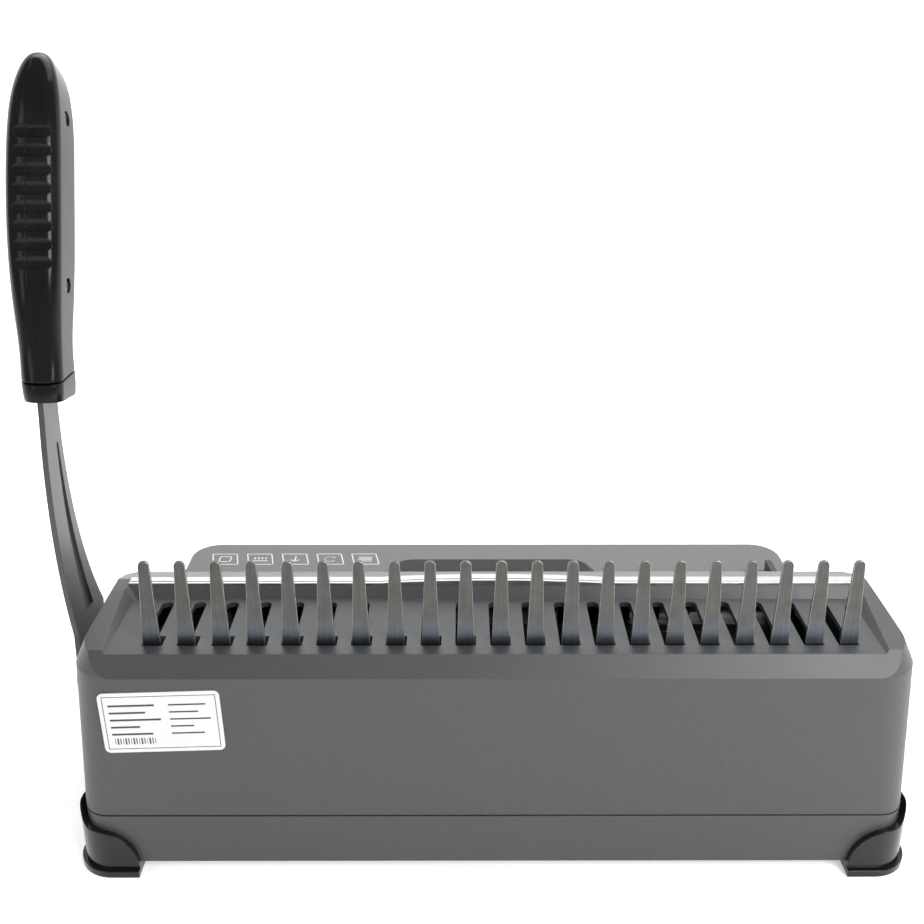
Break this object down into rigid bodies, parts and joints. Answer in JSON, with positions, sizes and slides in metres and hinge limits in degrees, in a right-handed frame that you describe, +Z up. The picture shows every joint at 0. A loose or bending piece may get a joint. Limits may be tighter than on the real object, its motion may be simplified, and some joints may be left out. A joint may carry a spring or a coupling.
{
  "type": "comb binding machine",
  "caption": "Manual desktop punch and comb binding machine: paper throat at the front, comb fingers and opening hooks on top, one side lever driving both.",
  "frame": {"origin": "on the table surface under the middle of the whole machine's bounding box, lever included", "axes": "+Z up, -Y towards the user and the paper table, +X towards the side with the lever"},
  "size_m": [0.384, 0.201, 0.3293],
  "materials": {
    "casing_paint": "satin textured moulding",
    "table_paint": "satin powder coat",
    "bright_strip": "bright satin",
    "gloss_black": "gloss",
    "boot_black": "smooth",
    "label_white": "printed label",
    "plate_steel": "zinc plated",
    "tool_steel": "ground",
    "comb_steel": "satin",
    "hook_steel": "satin",
    "slide_plastic": "moulded",
    "bush_brass": "turned",
    "arm_paint": "satin powder coat",
    "screw_steel": "plated",
    "tray_plastic": "moulded"
  },
  "bodies": {
    "housing": {"base_pan": "casing_paint", "top_cover": "casing_paint", "paper_table": "table_paint", "roof_trim_strip": "bright_strip", "table_grip_bar": "gloss_black", "boot_rear_right": "boot_black", "boot_rear_left": "boot_black", "boot_front_right": "boot_black", "boot_front_left": "boot_black", "rating_plate": "label_white", "side_plate_right": "plate_steel", "side_plate_left": "plate_steel", "die_plate": "plate_steel", "punch_guide_plate": "plate_steel", "paper_stop": "plate_steel", "throat_spacers": "plate_steel", "comb_plate": "comb_steel", "comb_plate_spacers": "tool_steel", "hook_rails": "slide_plastic", "shaft_bush_right": "bush_brass", "shaft_bush_left": "bush_brass", "return_spring_right": "tool_steel", "return_spring_left": "tool_steel", "spring_posts_fixed": "tool_steel", "base_screws": "screw_steel", "side_plate_screws": "screw_steel"},
    "lever": {"drive_shaft": "tool_steel", "crank_right": "plate_steel", "crank_left": "plate_steel", "crank_pins": "tool_steel", "lever_arm": "arm_paint", "lever_hub": "tool_steel", "lever_bolt": "screw_steel", "grip_outer_half": "gloss_black", "grip_inner_half": "gloss_black", "grip_screws": "screw_steel"},
    "punch_carriage": {"punch_bar": "plate_steel", "punches": "tool_steel"},
    "hook_carriage": {"hook_plate": "hook_steel", "hook_arm_right": "plate_steel", "hook_arm_left": "plate_steel", "spring_posts_moving": "tool_steel"},
    "chip_tray": {"chip_tray": "tray_plastic"},
    "edge_guide": {"edge_guide": "tray_plastic"}
  },
  "joints": [
    {"name": "lever_pull", "type": "hinge", "parent": "housing", "child": "lever", "pos_m": [-0.01196, 0.01, 0.044], "axis": [1, 0, 0], "range_deg": [0, 75], "stiffness_Nm_per_rad": 0.6, "springref_deg": -57.3},
    {"name": "punch_stroke", "type": "slide", "parent": "housing", "child": "punch_carriage", "axis": [0, 0, -1], "range_m": [0, 0.01109]},
    {"name": "hook_opening", "type": "slide", "parent": "housing", "child": "hook_carriage", "axis": [0, -1, 0], "range_m": [0, 0.02506], "deforming": ["return_spring_right", "return_spring_left"]},
    {"name": "chip_tray_pull", "type": "slide", "parent": "housing", "child": "chip_tray", "axis": [0, -1, 0], "range_m": [0, 0.1]},
    {"name": "edge_guide_shift", "type": "slide", "parent": "housing", "child": "edge_guide", "axis": [1, 0, 0], "range_m": [0, 0.06]}
  ],
  "couplings": [
    {"joint": "punch_stroke", "follows": "lever_pull", "m_per_rad": 0.008399},
    {"joint": "hook_opening", "follows": "lever_pull", "m_per_rad": 0.019067}
  ]
}
